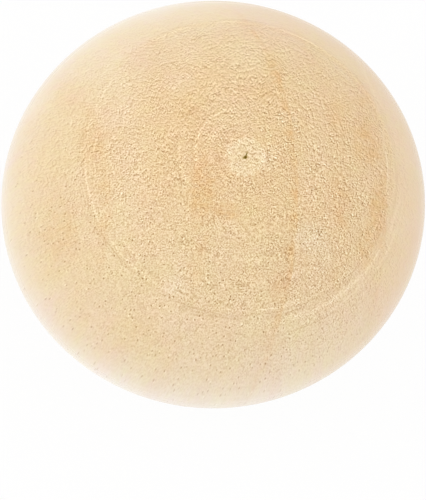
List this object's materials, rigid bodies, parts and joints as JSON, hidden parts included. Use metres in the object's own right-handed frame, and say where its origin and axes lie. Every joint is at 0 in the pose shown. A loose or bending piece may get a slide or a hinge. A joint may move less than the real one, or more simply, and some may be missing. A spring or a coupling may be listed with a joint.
{
  "type": "wooden ball",
  "caption": "Small bare wooden ball, turned along its fibres and slightly oval from drying, with a sanded flat, a torn pit and faint tool rings at its ends.",
  "frame": {"origin": "centre of the ball", "axes": "+Z along the fibres, which was the lathe's axis, out of the end with the torn pit; +X across the growth rings, away from the tree's middle; +Y along the growth rings, the ball's short diameter"},
  "size_m": [0.01, 0.0096, 0.01],
  "materials": {
    "bare_wood": "bare pale wood, sanded and unsealed, with fine pores and faint growth rings"
  },
  "bodies": {
    "root": {"ball": "bare_wood"}
  },
  "joints": []
}
